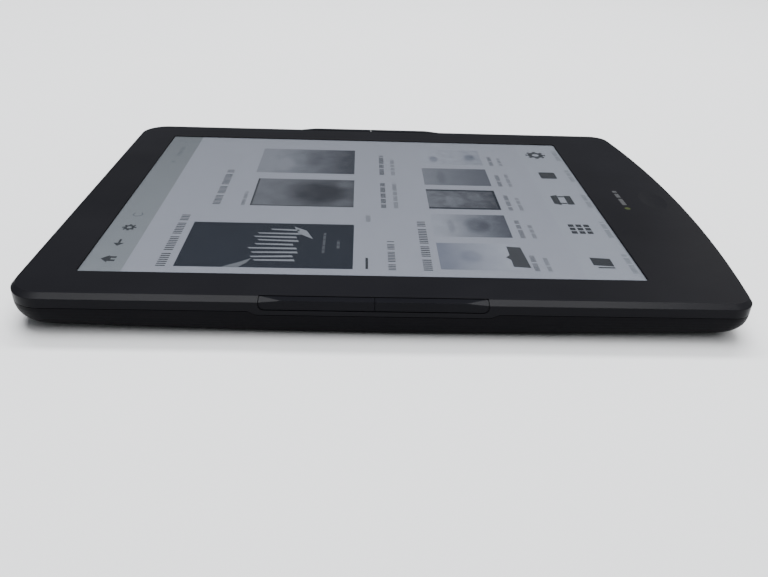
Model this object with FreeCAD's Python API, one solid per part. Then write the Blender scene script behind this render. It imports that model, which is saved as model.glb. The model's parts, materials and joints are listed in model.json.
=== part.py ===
import FreeCAD, Part
import math
import os

# A six-inch e-reader lying on its back, in millimetres. +Z is the screen's outward normal, +Y points
# to the top of the page and +X to the reader's right. The origin is the bottom centre of its box.
# A flat moulded bezel holds the display stack and the page keys. A domed rear cover snaps onto it
# and carries the socket openings and the power button along the curved lower edge, the chin.

V = FreeCAD.Vector

# Driving dimensions
WIDTH, LENGTH, THICKNESS = 114.0, 159.0, 9.0
HALF_WIDTH, HALF_LENGTH = WIDTH / 2, LENGTH / 2
CHIN_RADIUS = 325.0          # the lower edge is one long arc
TOP_CORNER, CHIN_CORNER = 7.2, 5.0
BEVEL_WIDTH, BEVEL_DROP = 1.9, 0.5   # along the sides
BEVEL_END = 0.4              # the two ends are only broken by this much
PARTING_Z = 6.45             # where the bezel's skirt meets the rear cover
PARTING_GAP = 0.1
SKIN = 1.2                   # rear cover wall
CLEAR = 0.02                 # gap between parts that are fastened or glued face to face

# Rear cover: each edge rolls under along a superellipse of its own reach and power
SIDE_REACH_MID, SIDE_REACH_END, SIDE_POWER = 3.3, 6.1, 2.1
TOP_REACH, TOP_POWER = 2.5, 2.0
CHIN_REACH, CHIN_POWER = 10.0, 2.9
CORNER_GROWTH = 0.6
SIDE_SPAN, SIDE_MID_Y = 62.0, 2.0    # the sides bow by the difference of reaches over this half span

# Screen window and the display stack under it
WINDOW_WIDTH, WINDOW_LENGTH, WINDOW_TOP = 91.5, 123.5, 68.05
WINDOW_BOTTOM = WINDOW_TOP - WINDOW_LENGTH
WINDOW_CORNER, WINDOW_CHAMFER = 0.6, 0.13
FILM_GAP, FILM_TOP, FILM_THICK = 0.05, 8.86, 0.41
FILM_TAIL = 1.2              # a tongue of the film reaches under the ledge to its cable
LEDGE_Z = 8.55               # underside of the thin ledge round the window
GUIDE_Z, GUIDE_THICK = 8.18, 0.25
PAGE_Z, PAGE_THICK = 7.88, 0.25
LIGHT_STRIP_Z = 8.05
TOUCH_X, TOUCH_HALF, FLEX_THIN = 29.0, 5.0, 0.08
PANEL_Z, PANEL_THICK = 7.43, 0.45
PANEL_WIDTH, PANEL_LENGTH, PANEL_TOP = 101.8, 138.4, 72.1
PLATE_Z, PLATE_THICK = 6.75, 0.58
FRAME_PLATE_Z = 7.75         # underside of the bezel away from the display
FRAME_WALL = 2.2
TONGUE_Z, TONGUE_INSET = 5.2, 1.55
SNAP_Z, SNAP_HALF = 5.6, 3.0
SNAP_SIDES, SNAP_TOPS = (58.0, 42.0, -34.0, -52.0), (-35.0, 0.0, 35.0)
POCKET_GAP = 0.6             # between the panel and the bezel's pocket for it
BOSS_RADIUS, BOSS_HEIGHT = 1.5, 0.8
RIB_ROWS, RIB_COLUMNS = (62.0, 50.0, -33.0), (-36.0, -12.0, 12.0, 36.0)   # stiffening ribs in the cover
RIB_THICK, RIB_HEIGHT = 0.8, 0.7

# Smaller members of the display stack
GUIDE_HALF, GUIDE_LOW, GUIDE_HIGH = 47.0, -61.75, 70.0
PAGE_HALF, PAGE_MARGIN = 46.3, 0.55
DRIVER_HALF, DRIVER_LOW, DRIVER_HIGH, DRIVER_THICK = 14.0, -61.2, -59.8, 0.25
STRIP_HALF, STRIP_LOW, STRIP_THICK = 40.0, -64.2, 0.1
LED_PLACES, LED_HALF, LED_DEPTH = (-36, -26, -16, 16, 26, 36), 1.5, 0.75
GASKET_WIDTH, GASKET_INSET = 1.6, 0.2
GASKET_GAPS = ((0, 16), (29, 5.5), (-30, 4.5))    # where the three cables pass: middle and half width
ADHESIVE_HALF, ADHESIVE_LOW, ADHESIVE_HIGH, ADHESIVE_WIDTH = 47.0, -62.0, 68.0, 6.0
DISPLAY_FLEX_HALF, DISPLAY_FLEX_THICK = 15.0, 0.12
LIGHT_FLEX_X, LIGHT_FLEX_HALF = -30.0, 4.0
FLEX_LOW_Z, FLEX_END_Y = 6.25, -60.6              # where the folded cables meet their connectors
DISPLAY_FLEX_START, FLEX_TURN, TOUCH_FLEX_TURN = -63.9, -68.4, -68.25
PLATE_HALF, PLATE_LOW, PLATE_HIGH = 50.6, -68.2, 74.5
PLATE_HOLES = ((-30, 60), (0, 60), (30, 60), (-41, 10), (41, 10))

# A plain ornament between the screen and the chin, printed into a shallow pocket
PRINT_X, PRINT_Y, PRINT_HALF, PRINT_DEPTH = -4.0, -63.6, 0.6, 0.05
PRINT_BARS = (4.4, 2.8, 1.3)
DIMPLE_Y, DIMPLE_DEPTH, DIMPLE_HALF_X, DIMPLE_HALF_Y = -72.6, 0.12, 6.2, 3.4   # touch key

# Page keys: two on each long edge
KEY_TOP, KEY_BOTTOM, KEY_SPLIT = 28.15, -18.75, 4.6
KEY_FLOOR = 6.85             # underside of the key's cap
KEY_GAP = 0.10
KEY_DEPTH = 1.8              # cap thickness along X
KEY_BACK_GAP = 0.38          # room behind the cap for its 0.3 mm of travel
KEY_CORNER = 1.1
KEY_FACET = 4.8              # length of the facet that blends each key end into the bevel
KEY_RIB = 1.0                # wall behind the keys
DIP_Z, DIP_RUN = 5.6, 2.3    # the parting line dips below the keys
POST_HEIGHT, POST_Z = 0.9, 7.3
HOOK_OFFSET, HOOK_WIDTH = 8.0, 2.0
SWITCH_BACK = 51.5           # back of the key switches, measured from the middle

# Electronics
BOARD_Z, BOARD_THICK = 5.0, 0.8
BOARD_HALF, BOARD_TOP, BOARD_LOW = 46.0, -33.5, -72.6
TAB_HALF, TAB_LOW = 32.0, -75.3
PORT_Z = 3.75
USB_WIDTH, USB_HEIGHT, USB_MOUTH, USB_BACK, SHEET = 7.5, 2.5, -79.0, -73.6, 0.3
CARD_X, CARD_HALF, CARD_FRONT, CARD_BACK = -22.0, 7.0, -75.6, -61.4
CARD_Z, CARD_HEIGHT = 3.5, 1.45
POWER_X, POWER_Z, POWER_HALF, POWER_RADIUS = 22.0, 4.1, 5.0, 0.9
FLANGE_INSET = 1.3           # the button's retaining flange, inside the cover's wall
LED_X, RESET_X, SMALL_PORT_Z = 10.0, -10.0, 4.1
BATTERY_HALF, BATTERY_TOP, BATTERY_LOW = 31.0, 46.0, -31.0
BATTERY_Z, BATTERY_THICK = 3.05, 3.5
TAPE_X, TAPE_HALF, TAPE_INSET = 15.0, 9.0, 6.0
LEAD_PLACES, LEAD_WIDTH, LEAD_END = (-25.6, -23.6, -21.6), 1.2, -35.2
FOAM_X, FOAM_HALF, FOAM_LOW, FOAM_HIGH = 18.0, 6.0, -20.0, 34.0
SHIELD_PLACE, SHIELD_WIDTH, SHIELD_LENGTH, SHIELD_HEIGHT = (22, -51), 26, 20, 1.6
CHIPS = {                    # on the board's underside: middle, width, length and height
    "processor": (17, -51, 12, 12, 1.0),
    "memory_chip": (29.5, -51, 9, 11, 0.9),
    "storage_chip": (2, -44, 11.5, 13, 1.0),
    "power_chip": (-24, -52, 7, 7, 0.85),
    "display_power_chip": (-12, -48, 6, 6, 0.85),
    "wireless_module": (-37, -59, 12, 13, 1.5),
    "antenna_chip": (-43.5, -48.5, 2, 5.2, 1.0),
}
CONNECTORS = ((0, -60.5, 31, 3.0), (29, -60.5, 11, 3.0), (-30, -60.5, 9, 3.0), (42.25, -42, 2.5, 5.0),
              (-42.25, -42, 2.5, 5.0), (-23, -36, 8, 2.8))   # on its upper side: middle, width and length
CONNECTOR_HEIGHT = 0.42
PLATE_SCREWS = [(side * 53.0, y) for y in (66.0, 38.0, -30.0, -60.0) for side in (-1, 1)]
BOARD_SCREWS = [(side * 42.0, y) for y in (-37.5, -68.5) for side in (-1, 1)]
SCREW_SHANK, SCREW_HOLE, SCREW_HEAD = 0.68, 0.72, 1.3


def box(x0, x1, y0, y1, z0, z1):
    """A block between two corners, whichever way round they are given."""
    low = V(min(x0, x1), min(y0, y1), min(z0, z1))
    return Part.makeBox(abs(x1 - x0), abs(y1 - y0), abs(z1 - z0), low)


def rod(start, direction, radius, length):
    return Part.makeCylinder(radius, length, V(*start), V(*direction))


def rounded_box(x0, x1, y0, y1, z0, z1, radius):
    """A block with its four upright edges rounded."""
    block = box(x0, x1, y0, y1, z0, z1)
    upright = [e for e in block.Edges if abs(e.tangentAt(e.FirstParameter).z) > 0.9]
    return block.makeFillet(radius, upright)


def joined(shapes):
    """Shapes that touch, fused into one."""
    whole = shapes[0]
    for shape in shapes[1:]:
        whole = whole.fuse(shape)
    return whole.removeSplitter()


def mirrored(shape):
    """The shape on the other long side."""
    return shape.mirror(V(0, 0, 0), V(1, 0, 0))


def beyond(centre, towards, distance):
    """The point at a distance from the centre, in the direction of another point."""
    return centre + (towards - centre).normalize() * distance


def arc(a, middle, b):
    return Part.Arc(a, middle, b).toShape()


def outline(z, side=0.0, bow=0.0, top=0.0, chin=0.0, growth=None):
    """The plan outline as a closed wire, each edge moved in by its own amount.
    bow is how much further in the long sides are near their ends. With growth left out, the corner
    radii shrink with the inset, so that the wire is a true offset."""
    shrink = -side if growth is None else growth
    r_top, r_chin = TOP_CORNER + shrink, CHIN_CORNER + shrink
    y_top = HALF_LENGTH - top
    chin_mid, chin_r = V(0, CHIN_RADIUS - HALF_LENGTH, z), CHIN_RADIUS - chin
    x_side = HALF_WIDTH - side
    if bow:
        side_r = SIDE_SPAN ** 2 / (2 * bow)
        side_mid = V(x_side - side_r, SIDE_MID_Y, z)
        reach = side_r - r_top
        rise = y_top - r_top - SIDE_MID_Y
        top_c = V(side_mid.x + math.sqrt(reach ** 2 - rise ** 2), y_top - r_top, z)
        chin_c = common_centre(side_mid, side_r - r_chin, chin_mid, chin_r - r_chin)
        top_side, chin_side = beyond(side_mid, top_c, side_r), beyond(side_mid, chin_c, side_r)
    else:
        top_c = V(x_side - r_top, y_top - r_top, z)
        x = x_side - r_chin
        chin_c = V(x, chin_mid.y - math.sqrt((chin_r - r_chin) ** 2 - x ** 2), z)
        top_side, chin_side = V(x_side, top_c.y, z), V(x_side, chin_c.y, z)
    top_end = V(top_c.x, y_top, z)
    chin_end = beyond(chin_mid, chin_c, chin_r)
    top_bend = beyond(top_c, (top_end + top_side) * 0.5, r_top)
    chin_bend = beyond(chin_c, (chin_end + chin_side) * 0.5, r_chin)

    def left(p):
        return V(-p.x, p.y, p.z)

    right_edge = Part.LineSegment(chin_side, top_side).toShape()
    left_edge = Part.LineSegment(left(top_side), left(chin_side)).toShape()
    if bow:
        right_edge = arc(chin_side, V(x_side, SIDE_MID_Y, z), top_side)
        left_edge = arc(left(top_side), V(-x_side, SIDE_MID_Y, z), left(chin_side))
    return Part.Wire([
        right_edge,
        arc(top_side, top_bend, top_end),
        Part.LineSegment(top_end, left(top_end)).toShape(),
        arc(left(top_end), left(top_bend), left(top_side)),
        left_edge,
        arc(left(chin_side), left(chin_bend), left(chin_end)),
        arc(left(chin_end), V(0, chin_mid.y - chin_r, z), chin_end),
        arc(chin_end, chin_bend, chin_side),
    ])


def common_centre(a, a_reach, b, b_reach):
    """The point at given distances from two centres, on the right and towards the chin."""
    gap = (b - a).Length
    along = (a_reach ** 2 - b_reach ** 2 + gap ** 2) / (2 * gap)
    off = math.sqrt(a_reach ** 2 - along ** 2)
    way = (b - a).normalize()
    sides = [a + way * along + V(-way.y, way.x, 0) * off * sign for sign in (-1, 1)]
    return min(sides, key=lambda p: p.y)


def inset_wire(inset, z):
    return outline(z, inset, 0.0, inset, inset)


def prism(inset, z0, z1):
    """The whole outline moved in by an even inset, as a slab."""
    return Part.Face(inset_wire(inset, z0)).extrude(V(0, 0, z1 - z0))


def ring(outer_inset, inner_inset, z0, z1):
    return prism(outer_inset, z0, z1).cut(prism(inner_inset, z0 - 1, z1 + 1))


def yz_plate(points, x0, x1, radius=0.0, rounded=()):
    """A polygon in the YZ plane given thickness along X. rounded lists the corners to round."""
    corners = [V(x0, y, z) for y, z in points]
    plate = Part.Face(Part.makePolygon(corners + corners[:1])).extrude(V(x1 - x0, 0, 0))
    if not rounded:
        return plate
    wanted = [corners[i] for i in rounded]
    edges = [e for e in plate.Edges
             if abs(e.tangentAt(e.FirstParameter).x) > 0.9
             and any(math.hypot(e.Vertexes[0].Y - c.y, e.Vertexes[0].Z - c.z) < 1e-6 for c in wanted)]
    return plate.makeFillet(radius, edges)


def slot_along_y(x, z, half, radius, y0, y1):
    """A bar of rounded-end section that runs along Y."""
    straight = half - radius
    bar = box(x - straight, x + straight, y0, y1, z - radius, z + radius)
    ends = [rod((x + s * straight, y0, z), (0, 1, 0), radius, y1 - y0) for s in (-1, 1)]
    return joined([bar] + ends)


# ---------------------------------------------------------------- housing

def key_opening(side):
    """The pocket in the bezel's edge that both keys of one side sit in."""
    y0, y1 = KEY_BOTTOM - KEY_GAP, KEY_TOP + KEY_GAP
    z0 = KEY_FLOOR - KEY_GAP - 0.05
    back = HALF_WIDTH - KEY_DEPTH - KEY_BACK_GAP
    pocket = yz_plate([(y0, z0), (y1, z0), (y1, THICKNESS + 1), (y0, THICKNESS + 1)],
                      back, HALF_WIDTH + 1, KEY_CORNER + KEY_GAP, rounded=(0, 1))
    return pocket if side > 0 else mirrored(pocket)


def parting_dip(inset, floor, reach):
    """A block on each side below the keys, with sloping ends, where the parting line dips."""
    y0, y1 = KEY_BOTTOM - 0.7, KEY_TOP + 0.7
    points = [(y0, floor), (y1, floor), (y1 + DIP_RUN, PARTING_Z + 0.3), (y0 - DIP_RUN, PARTING_Z + 0.3)]
    block = yz_plate(points, HALF_WIDTH - reach, HALF_WIDTH + 1, 1.0, rounded=(0, 1))
    body = prism(inset, floor - 1, PARTING_Z + 0.3)
    return [block.common(body), mirrored(block).common(body)]


def key_centres():
    """The middle and half length of the two keys on a side, upper key first."""
    upper = ((KEY_TOP + KEY_SPLIT + KEY_GAP / 2) / 2, (KEY_TOP - KEY_SPLIT - KEY_GAP / 2) / 2)
    lower = ((KEY_BOTTOM + KEY_SPLIT - KEY_GAP / 2) / 2, (KEY_SPLIT - KEY_GAP / 2 - KEY_BOTTOM) / 2)
    return {"upper": upper, "lower": lower}


def rib_windows(side):
    """Openings in the wall behind the keys for each key's post and two hooks."""
    back = HALF_WIDTH - KEY_DEPTH - KEY_BACK_GAP
    cuts = []
    for middle, _ in key_centres().values():
        for offset in (-HOOK_OFFSET, 0, HOOK_OFFSET):
            half = HOOK_WIDTH / 2 + 0.25
            cuts.append(box(side * (back + 0.5), side * (back - KEY_RIB - 0.5), middle + offset - half,
                            middle + offset + half, POST_Z - 0.2, POST_Z + POST_HEIGHT + 0.2))
    return cuts


def snap_ridges(near, far, z0, z1, half):
    """Short lengths of the band between two insets: the snaps, or the grooves they sit in."""
    band = ring(near, far, z0, z1)
    spans = [box(side * 50, side * 57, y - half, y + half, z0, z1) for y in SNAP_SIDES for side in (-1, 1)]
    spans += [box(x - half, x + half, 70, HALF_LENGTH, z0, z1) for x in SNAP_TOPS]
    return [band.common(span) for span in spans]


def front_frame():
    """The bezel: flat face, shallow bevel, skirt, snap tongue, display pocket and screw bosses."""
    edge_z = THICKNESS - BEVEL_DROP
    skirt = prism(0, PARTING_Z, edge_z)
    flat = outline(THICKNESS, BEVEL_WIDTH, 0.0, BEVEL_END, BEVEL_END, -BEVEL_END)
    face = Part.makeLoft([inset_wire(0, edge_z), flat], True, True)
    body = skirt.fuse(face)
    for dip in parting_dip(0.03, DIP_Z, FRAME_WALL):
        body = body.fuse(dip)
    body = body.cut(prism(FRAME_WALL, TONGUE_Z - 1, FRAME_PLATE_Z))
    body = body.fuse(ring(TONGUE_INSET, FRAME_WALL, TONGUE_Z, PARTING_Z + 0.5))
    for ridge in snap_ridges(TONGUE_INSET - 0.25, TONGUE_INSET + 0.2, SNAP_Z, SNAP_Z + 0.4, SNAP_HALF):
        body = body.fuse(ridge)
    back = HALF_WIDTH - KEY_DEPTH - KEY_BACK_GAP
    for side in (-1, 1):
        y0, y1 = KEY_BOTTOM - 1.5, KEY_TOP + 1.5
        rib = box(side * back, side * (back - KEY_RIB), y0, y1, DIP_Z + 0.45, FRAME_PLATE_Z + 0.2)
        shelf = box(side * (HALF_WIDTH - 0.3), side * (back - KEY_RIB), y0, y1, DIP_Z + 0.45,
                    KEY_FLOOR - KEY_GAP - 0.05)
        body = body.fuse(rib).fuse(shelf)
    for x, y in PLATE_SCREWS:
        body = body.fuse(rod((x, y, PLATE_Z + PLATE_THICK + CLEAR), (0, 0, 1), BOSS_RADIUS, BOSS_HEIGHT))
    cuts = [key_opening(side) for side in (-1, 1)]
    cuts += rib_windows(-1) + rib_windows(1)
    cuts += [rod((x, y, PLATE_Z), (0, 0, 1), SCREW_HOLE, 1.7) for x, y in PLATE_SCREWS]
    cuts += [box(side * SWITCH_BACK, side * (back - KEY_RIB), KEY_BOTTOM, KEY_TOP, PLATE_Z, LEDGE_Z)
             for side in (-1, 1)]
    half = PANEL_WIDTH / 2 + POCKET_GAP
    cuts.append(rounded_box(-half, half, PANEL_TOP - PANEL_LENGTH - 3.2, PANEL_TOP + 0.4,
                            PANEL_Z - 1, LEDGE_Z, 1.0))
    cuts.append(rounded_box(-WINDOW_WIDTH / 2, WINDOW_WIDTH / 2, WINDOW_BOTTOM, WINDOW_TOP,
                            PANEL_Z, THICKNESS + 1, WINDOW_CORNER))
    cuts.append(box(-TAB_HALF - 1.5, TAB_HALF + 1.5, -HALF_LENGTH, -70, TONGUE_Z - 1, PARTING_Z))
    cuts.append(touch_key_dimple())
    for mark in printed_bars(0.01) + [printed_dot(0.01)]:
        cuts.append(mark.fuse(mark.translated(V(0, 0, PRINT_DEPTH / 2))))
    for cut in cuts:
        body = body.cut(cut)
    body = body.removeSplitter()
    rim = [e for e in body.Edges if on_window_rim(e)]
    return body.makeChamfer(WINDOW_CHAMFER, rim)


def printed_bars(grow=0.0):
    """A plain ornament printed below the screen: bars of falling length in one row."""
    bars = []
    x = PRINT_X
    for length in PRINT_BARS:
        bars.append(box(x - grow, x + length + grow, PRINT_Y - PRINT_HALF - grow, PRINT_Y + PRINT_HALF + grow,
                        THICKNESS - PRINT_DEPTH, THICKNESS - CLEAR))
        x += length + 0.8
    return bars


def printed_dot(grow=0.0):
    """The round dot before the bars."""
    return rod((PRINT_X - 2.2, PRINT_Y, THICKNESS - PRINT_DEPTH), (0, 0, 1), 0.8 + grow, PRINT_DEPTH - CLEAR)


def on_window_rim(edge):
    """True for the edges where the window meets the flat face."""
    b = edge.BoundBox
    return (abs(b.ZMin - THICKNESS) < 1e-5 and abs(b.ZMax - THICKNESS) < 1e-5
            and b.XMax < WINDOW_WIDTH / 2 + 0.01 and b.XMin > -WINDOW_WIDTH / 2 - 0.01
            and b.YMax < WINDOW_TOP + 0.01 and b.YMin > WINDOW_BOTTOM - 0.01)


def touch_key_dimple():
    """The bottom of a torus leaves a shallow oval dimple in the chin."""
    tube = DIMPLE_HALF_Y ** 2 / (2 * DIMPLE_DEPTH)
    swing = DIMPLE_HALF_X ** 2 / (2 * DIMPLE_DEPTH)
    centre = V(0, DIMPLE_Y, THICKNESS - DIMPLE_DEPTH + swing)
    return Part.makeTorus(swing - tube, tube, centre, V(0, 1, 0))


def cover_sections(skin, floor, steps):
    """Outlines of the domed cover from its rim down to its flat, moved in by the skin."""
    wires = []
    rim = PARTING_Z - PARTING_GAP
    for step in range(steps + 1):
        angle = math.pi / 2 * step / steps

        def inward(power):
            return 1 - math.cos(angle) ** (2 / power) if step < steps else 1.0

        depth = math.sin(angle) ** (2 / SIDE_POWER)
        z = rim - (rim - floor) * depth

        def reach_at(power):
            return 1 - (1 - min(depth, 1.0) ** power) ** (1 / power) if step < steps else 1.0

        side = inward(SIDE_POWER)
        wires.append(outline(z, skin + SIDE_REACH_MID * side,
                             max((SIDE_REACH_END - SIDE_REACH_MID) * side, 0.004),
                             skin + TOP_REACH * reach_at(TOP_POWER),
                             skin + CHIN_REACH * reach_at(CHIN_POWER),
                             CORNER_GROWTH * side - skin))
    return wires


def chin_openings():
    """What the cover's chin wall is cut with: sockets, the power button, light and reset holes."""
    y0, y1 = -HALF_LENGTH - 1, -74.0
    usb = box(-USB_WIDTH / 2 - 0.35, USB_WIDTH / 2 + 0.35, y0, y1,
              PORT_Z - USB_HEIGHT / 2 - 0.3, PORT_Z + USB_HEIGHT / 2 + 0.3)
    along = [e for e in usb.Edges if abs(e.tangentAt(e.FirstParameter).y) > 0.9]
    return [
        usb.makeFillet(0.9, along),
        slot_along_y(CARD_X, CARD_Z + CARD_HEIGHT / 2, 6.1, 0.75, y0, y1),
        slot_along_y(POWER_X, POWER_Z, POWER_HALF + 0.15, POWER_RADIUS + 0.15, y0, y1),
        power_button_recess(),
        rod((LED_X, y0, SMALL_PORT_Z), (0, 1, 0), 0.65, y1 - y0),
        rod((RESET_X, y0, SMALL_PORT_Z), (0, 1, 0), 0.55, y1 - y0),
    ]


def rear_cover():
    """The domed back: an even skin with a rim, cut by the parting dips and the chin openings."""
    outer = Part.makeLoft(cover_sections(0, 0, 12), True, True)
    inner = Part.makeLoft(cover_sections(SKIN, SKIN, 12), True, True)
    shell = outer.cut(inner)
    for dip in parting_dip(-1, DIP_Z - PARTING_GAP, 8.0):
        shell = shell.cut(dip)
    for opening in chin_openings():
        shell = shell.cut(opening)
    for groove in snap_ridges(TONGUE_INSET - 0.4, 3.0, SNAP_Z - 0.1, SNAP_Z + 0.5, SNAP_HALF + 0.2):
        shell = shell.cut(groove)
    z0, z1 = SKIN - 0.2, SKIN + RIB_HEIGHT
    half = RIB_THICK / 2
    ribs = [box(RIB_COLUMNS[0], RIB_COLUMNS[-1], y, y + RIB_THICK, z0, z1) for y in RIB_ROWS]
    ribs += [box(x - half, x + half, RIB_ROWS[1], RIB_ROWS[0] + RIB_THICK, z0, z1) for x in RIB_COLUMNS]
    for rib in ribs:
        shell = shell.fuse(rib)
    return shell.removeSplitter()


# ---------------------------------------------------------------- keys and buttons

def page_key(side, which):
    """One key: a cap flush with the bezel, faceted into the bevel at its outer end, with a post
    that reaches the switch and two barbed hooks that keep it in."""
    middle, half = key_centres()[which]
    x_out, x_in = HALF_WIDTH, HALF_WIDTH - KEY_DEPTH
    outer_end = 1 if which == "upper" else 0
    y0, y1 = middle - half, middle + half
    cap = yz_plate([(y0, KEY_FLOOR), (y1, KEY_FLOOR), (y1, THICKNESS), (y0, THICKNESS)],
                   x_in, x_out, KEY_CORNER, rounded=(outer_end,))
    end = y1 if which == "upper" else y0
    way = 1 if which == "upper" else -1
    a = V(HALF_WIDTH - BEVEL_WIDTH, end, THICKNESS)
    b = V(HALF_WIDTH, end - way * KEY_FACET, THICKNESS)
    c = V(HALF_WIDTH, end, THICKNESS - BEVEL_DROP)
    cap = cap.cut(wedge_above(a, b, c))
    outline_edges = [e for e in cap.Edges
                     if e.BoundBox.XMin > HALF_WIDTH - 0.01 and e.BoundBox.ZMax < THICKNESS - 0.05
                     and e.BoundBox.YLength > 0.5]
    cap = cap.makeFillet(0.15, outline_edges)
    reach = HALF_WIDTH - KEY_DEPTH - KEY_BACK_GAP - KEY_RIB
    parts = [cap, box(x_in + 0.1, reach - 0.5, middle - 1, middle + 1, POST_Z, POST_Z + POST_HEIGHT)]
    for offset in (-HOOK_OFFSET, HOOK_OFFSET):
        y = middle + offset
        parts.append(box(x_in + 0.1, reach - 0.6, y - HOOK_WIDTH / 2, y + HOOK_WIDTH / 2,
                         POST_Z, POST_Z + POST_HEIGHT))
        parts.append(box(reach - 0.05, reach - 0.6, y - HOOK_WIDTH / 2 - 0.45, y + HOOK_WIDTH / 2 + 0.45,
                         POST_Z, POST_Z + POST_HEIGHT))
    key = joined(parts)
    return key if side > 0 else mirrored(key)


def wedge_above(a, b, c):
    """A thick triangular slab that stands on the plane through three points, on its upper side."""
    middle = (a + b + c) * (1 / 3)
    normal = (b - a).cross(c - a).normalize()
    if normal.z < 0:
        normal = normal * -1
    corners = [middle + (p - middle) * 3 for p in (a, b, c)]
    return Part.Face(Part.makePolygon(corners + corners[:1])).extrude(normal * 2)


def key_switch_plunger(side, which):
    """The round stem that the key's post pushes into its switch."""
    middle, _ = key_centres()[which]
    tip = HALF_WIDTH - KEY_DEPTH - KEY_BACK_GAP - KEY_RIB - 0.5 - CLEAR
    return rod((side * tip, middle, POST_Z + POST_HEIGHT / 2), (-side, 0, 0), 0.4, 0.85)


def key_switches(side):
    """Two side-firing switch housings, each bored for its stem."""
    cases = []
    for middle, _ in key_centres().values():
        front = HALF_WIDTH - KEY_DEPTH - KEY_BACK_GAP - KEY_RIB - 0.9
        case = box(side * front, side * SWITCH_BACK, middle - 1.75, middle + 1.75, 6.95, 8.35)
        bore = rod((side * (front + 0.1), middle, POST_Z + POST_HEIGHT / 2), (-side, 0, 0), 0.45, 0.95)
        cases.append(case.cut(bore))
    return Part.makeCompound(cases)


def key_flex(side):
    """The strip behind the switches and its tail down to the board's connector."""
    x0, x1 = SWITCH_BACK - 0.03, SWITCH_BACK - 0.15
    (upper, _), (lower, _) = key_centres().values()
    strip = box(side * x0, side * x1, lower - 3, upper + 3, 7.0, 8.3)
    drop = box(side * x0, side * x1, lower - 6, lower - 3 + 0.1, 6.0, 8.3)
    run = box(side * x0, side * x1, -44, lower - 6 + 0.1, 6.0, 6.65)
    tail = box(side * x0, side * 43.6, -44, -40, 6.0, 6.12)
    return joined([strip, drop, run, tail])


def chin_band(near, far):
    """The outline between two insets near the chin, as a tall band."""
    band = ring(near, far, POWER_Z - 2, POWER_Z + 2)
    return band.common(box(POWER_X - 8, POWER_X + 8, -HALF_LENGTH - 1, -70, POWER_Z - 2, POWER_Z + 2))


def power_button():
    """A pill that follows the chin's curve, with a flange inside that keeps it in."""
    pill = slot_along_y(POWER_X, POWER_Z, POWER_HALF, POWER_RADIUS, -HALF_LENGTH - 1, -75)
    flange = slot_along_y(POWER_X, POWER_Z, POWER_HALF + 0.8, POWER_RADIUS, -HALF_LENGTH - 1, -75)
    cap = pill.common(chin_band(0.12, 1.5))
    return joined([cap, flange.common(chin_band(FLANGE_INSET, FLANGE_INSET + 0.4))])


def power_button_recess():
    """Room for the flange, cut into the inside of the cover's wall."""
    room = slot_along_y(POWER_X, POWER_Z, POWER_HALF + 0.95, POWER_RADIUS + 0.15, -HALF_LENGTH - 1, -73)
    return room.common(chin_band(FLANGE_INSET - 0.05, FLANGE_INSET + 3))


def chin_y(x, inset):
    """Where the chin's outline lies at x, moved in by an inset."""
    radius = CHIN_RADIUS - inset
    return CHIN_RADIUS - HALF_LENGTH - math.sqrt(radius ** 2 - x ** 2)


def power_plunger():
    back = chin_y(POWER_X + 0.45, FLANGE_INSET + 0.4)
    return rod((POWER_X, back + CLEAR, POWER_Z), (0, 1, 0), 0.45, 1.75)


def push_switch(x, front, z, half, bore):
    """A side-firing switch housing at the board's edge, bored for its stem."""
    case = box(x - half, x + half, front, front + 2.6, z - 0.85, z + 0.85)
    return case.cut(rod((x, front - 0.1, z), (0, 1, 0), bore, 1.3))


def reset_plunger():
    return rod((RESET_X, -75.95, SMALL_PORT_Z), (0, 1, 0), 0.4, 1.2)


# ---------------------------------------------------------------- display stack

def touch_film():
    inset, low = FILM_GAP, FILM_TOP - FILM_THICK
    film = rounded_box(-WINDOW_WIDTH / 2 + inset, WINDOW_WIDTH / 2 - inset, WINDOW_BOTTOM + inset,
                       WINDOW_TOP - inset, low, FILM_TOP, WINDOW_CORNER - inset)
    tail = box(TOUCH_X - TOUCH_HALF, TOUCH_X + TOUCH_HALF, WINDOW_BOTTOM - FILM_TAIL, WINDOW_BOTTOM + 1,
               low, low + FLEX_THIN)
    return joined([film, tail])


def light_guide():
    return box(-GUIDE_HALF, GUIDE_HALF, GUIDE_LOW, GUIDE_HIGH, GUIDE_Z, GUIDE_Z + GUIDE_THICK)


def page_layer():
    return box(-PAGE_HALF, PAGE_HALF, WINDOW_BOTTOM - PAGE_MARGIN, WINDOW_TOP + PAGE_MARGIN,
               PAGE_Z, PAGE_Z + PAGE_THICK)


def panel_glass():
    return box(-PANEL_WIDTH / 2, PANEL_WIDTH / 2, PANEL_TOP - PANEL_LENGTH, PANEL_TOP,
               PANEL_Z, PANEL_Z + PANEL_THICK - CLEAR)


def driver_chip():
    return box(-DRIVER_HALF, DRIVER_HALF, DRIVER_LOW, DRIVER_HIGH, PAGE_Z, PAGE_Z + DRIVER_THICK)


def light_bar():
    """A flexible strip with its row of LEDs against the light guide's lower edge."""
    edge = GUIDE_LOW - 0.1
    strip = box(-STRIP_HALF, STRIP_HALF, STRIP_LOW, edge, LIGHT_STRIP_Z, LIGHT_STRIP_Z + STRIP_THICK)
    leds = [box(x - LED_HALF, x + LED_HALF, edge - LED_DEPTH, edge, LIGHT_STRIP_Z + STRIP_THICK / 2,
                GUIDE_Z + GUIDE_THICK) for x in LED_PLACES]
    return joined([strip] + leds)


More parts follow.
